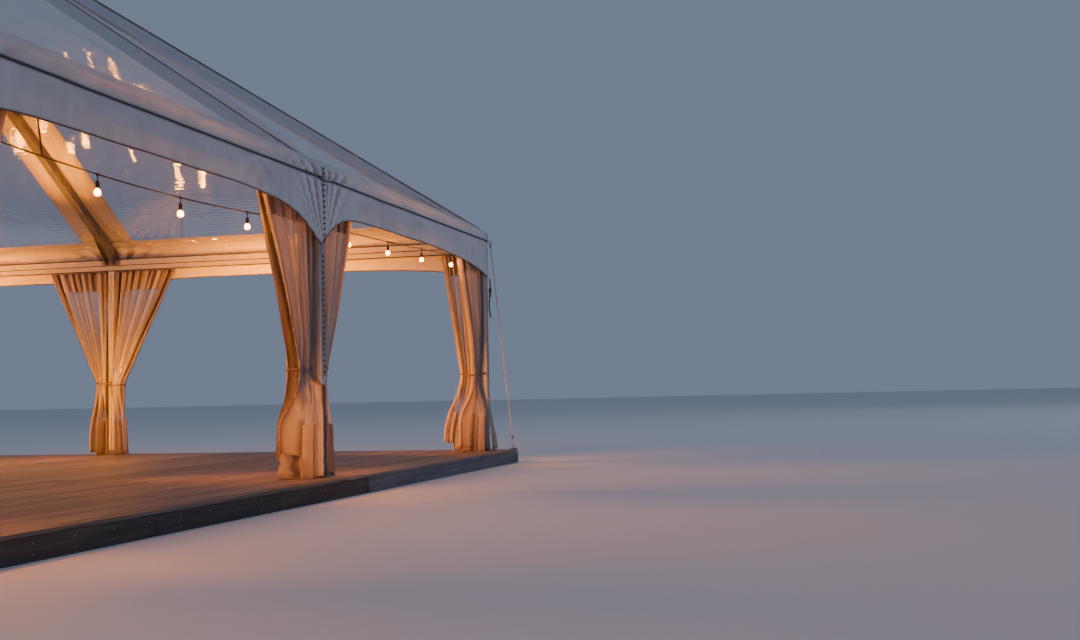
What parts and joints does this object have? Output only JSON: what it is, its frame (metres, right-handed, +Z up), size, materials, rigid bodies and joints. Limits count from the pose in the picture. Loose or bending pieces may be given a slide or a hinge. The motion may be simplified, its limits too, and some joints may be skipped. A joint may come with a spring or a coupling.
{
  "type": "clear-top frame marquee",
  "caption": "Hip-ended frame marquee with a clear roof, white borders, arched valance and tied-back side curtains, on a raised timber deck.",
  "frame": {"origin": "on the ground, under the middle of the plan", "axes": "+X along the ridge and the long sides, +Y across towards the back, +Z up"},
  "size_m": [17.2, 11.7, 6.8843],
  "materials": {
    "frame_alloy": "dull extruded aluminium box section",
    "clear_vinyl": "clear flexible vinyl sheet with faint creases",
    "white_vinyl": "white coated polyester fabric, satin, with welded seams",
    "curtain_vinyl": "clear vinyl side curtain gathered in folds, with white fabric borders",
    "deck_boards": "weathered timber decking",
    "deck_fascia": "dark stained timber",
    "stay_rope": "braided rope",
    "light_string": "black cable with moulded lamp holders"
  },
  "bodies": {
    "root": {"clear_roof_back": "clear_vinyl", "clear_roof_front": "clear_vinyl", "clear_roof_left": "clear_vinyl", "clear_roof_right": "clear_vinyl", "curtains_back_left": "curtain_vinyl", "curtains_back_mid_left": "curtain_vinyl", "curtains_back_mid_right": "curtain_vinyl", "curtains_back_right": "curtain_vinyl", "curtains_end_left": "curtain_vinyl", "curtains_end_right": "curtain_vinyl", "curtains_front_left": "curtain_vinyl", "curtains_front_mid_left": "curtain_vinyl", "curtains_front_mid_right": "curtain_vinyl", "curtains_front_right": "curtain_vinyl", "deck_floor": "deck_boards", "deck_frame": "deck_fascia", "eave_beam_back": "frame_alloy", "eave_beam_front": "frame_alloy", "eave_beam_left": "frame_alloy", "eave_beam_right": "frame_alloy", "hip_rafter_back_left": "frame_alloy", "hip_rafter_back_right": "frame_alloy", "hip_rafter_front_left": "frame_alloy", "hip_rafter_front_right": "frame_alloy", "lights_back": "light_string", "lights_front": "light_string", "post_back_left": "frame_alloy", "post_back_mid_left": "frame_alloy", "post_back_mid_right": "frame_alloy", "post_back_right": "frame_alloy", "post_end_left": "frame_alloy", "post_end_right": "frame_alloy", "post_front_left": "frame_alloy", "post_front_mid_left": "frame_alloy", "post_front_mid_right": "frame_alloy", "post_front_right": "frame_alloy", "rafter_back_mid_left": "frame_alloy", "rafter_back_mid_right": "frame_alloy", "rafter_end_left": "frame_alloy", "rafter_end_right": "frame_alloy", "rafter_front_mid_left": "frame_alloy", "rafter_front_mid_right": "frame_alloy", "ridge_beam": "frame_alloy", "roof_border_back": "white_vinyl", "roof_border_front": "white_vinyl", "roof_border_left": "white_vinyl", "roof_border_right": "white_vinyl", "stay_back_left": "stay_rope", "stay_back_right": "stay_rope", "stay_front_left": "stay_rope", "stay_front_right": "stay_rope", "valance_back": "white_vinyl", "valance_front": "white_vinyl", "valance_left": "white_vinyl", "valance_right": "white_vinyl"}
  },
  "joints": []
}
